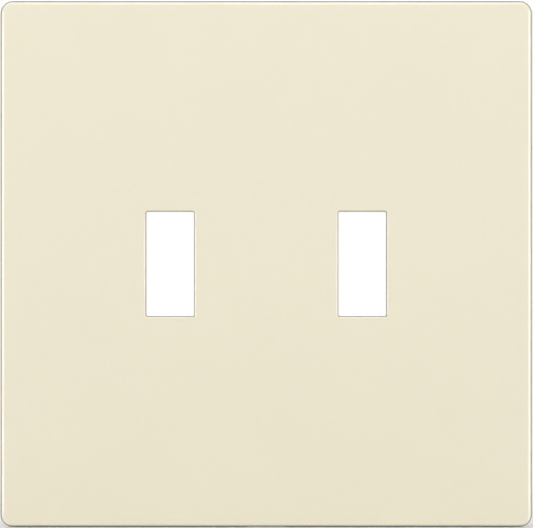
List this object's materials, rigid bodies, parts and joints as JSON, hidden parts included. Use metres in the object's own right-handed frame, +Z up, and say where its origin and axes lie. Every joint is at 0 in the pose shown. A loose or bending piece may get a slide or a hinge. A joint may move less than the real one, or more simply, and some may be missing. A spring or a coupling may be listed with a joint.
{
  "type": "two-gang toggle wall plate",
  "caption": "Screwless wall plate for toggle switches: a smooth rectangular cover with lever openings that snaps over a screwed-on mounting plate.",
  "frame": {"origin": "on the wall plane, at the centre of the pattern of four screws, which is also the centre of the plate", "axes": "+X to the right as seen from the room, +Z up, -Y out of the wall into the room and +Y into the wall box"},
  "size_m": [0.1276, 0.0161, 0.1262],
  "materials": {
    "cover_plastic": "light almond thermoplastic, smooth and glossy",
    "mounting_plastic": "light almond thermoplastic, fine matt texture",
    "screw_steel": "zinc-plated steel"
  },
  "bodies": {
    "mounting": {"mounting_plate": "mounting_plastic", "snap_catches": "mounting_plastic"},
    "cover": {"cover_plate": "cover_plastic"},
    "screw_upper_left": {"mounting_screw_upper_left": "screw_steel"},
    "screw_upper_right": {"mounting_screw_upper_right": "screw_steel"},
    "screw_lower_left": {"mounting_screw_lower_left": "screw_steel"},
    "screw_lower_right": {"mounting_screw_lower_right": "screw_steel"}
  },
  "joints": [
    {"name": "cover_pull", "type": "slide", "parent": "mounting", "child": "cover", "axis": [0, -1, 0], "range_m": [0, 0.03], "deforming": ["snap_catches"]},
    {"name": "screw_upper_left_turn", "type": "hinge", "parent": "mounting", "child": "screw_upper_left", "pos_m": [-0.02302, 0, 0.03017], "axis": [0, 1, 0], "continuous": true},
    {"name": "screw_upper_right_turn", "type": "hinge", "parent": "mounting", "child": "screw_upper_right", "pos_m": [0.02302, 0, 0.03017], "axis": [0, 1, 0], "continuous": true},
    {"name": "screw_lower_left_turn", "type": "hinge", "parent": "mounting", "child": "screw_lower_left", "pos_m": [-0.02302, 0, -0.03017], "axis": [0, 1, 0], "continuous": true},
    {"name": "screw_lower_right_turn", "type": "hinge", "parent": "mounting", "child": "screw_lower_right", "pos_m": [0.02302, 0, -0.03017], "axis": [0, 1, 0], "continuous": true}
  ]
}
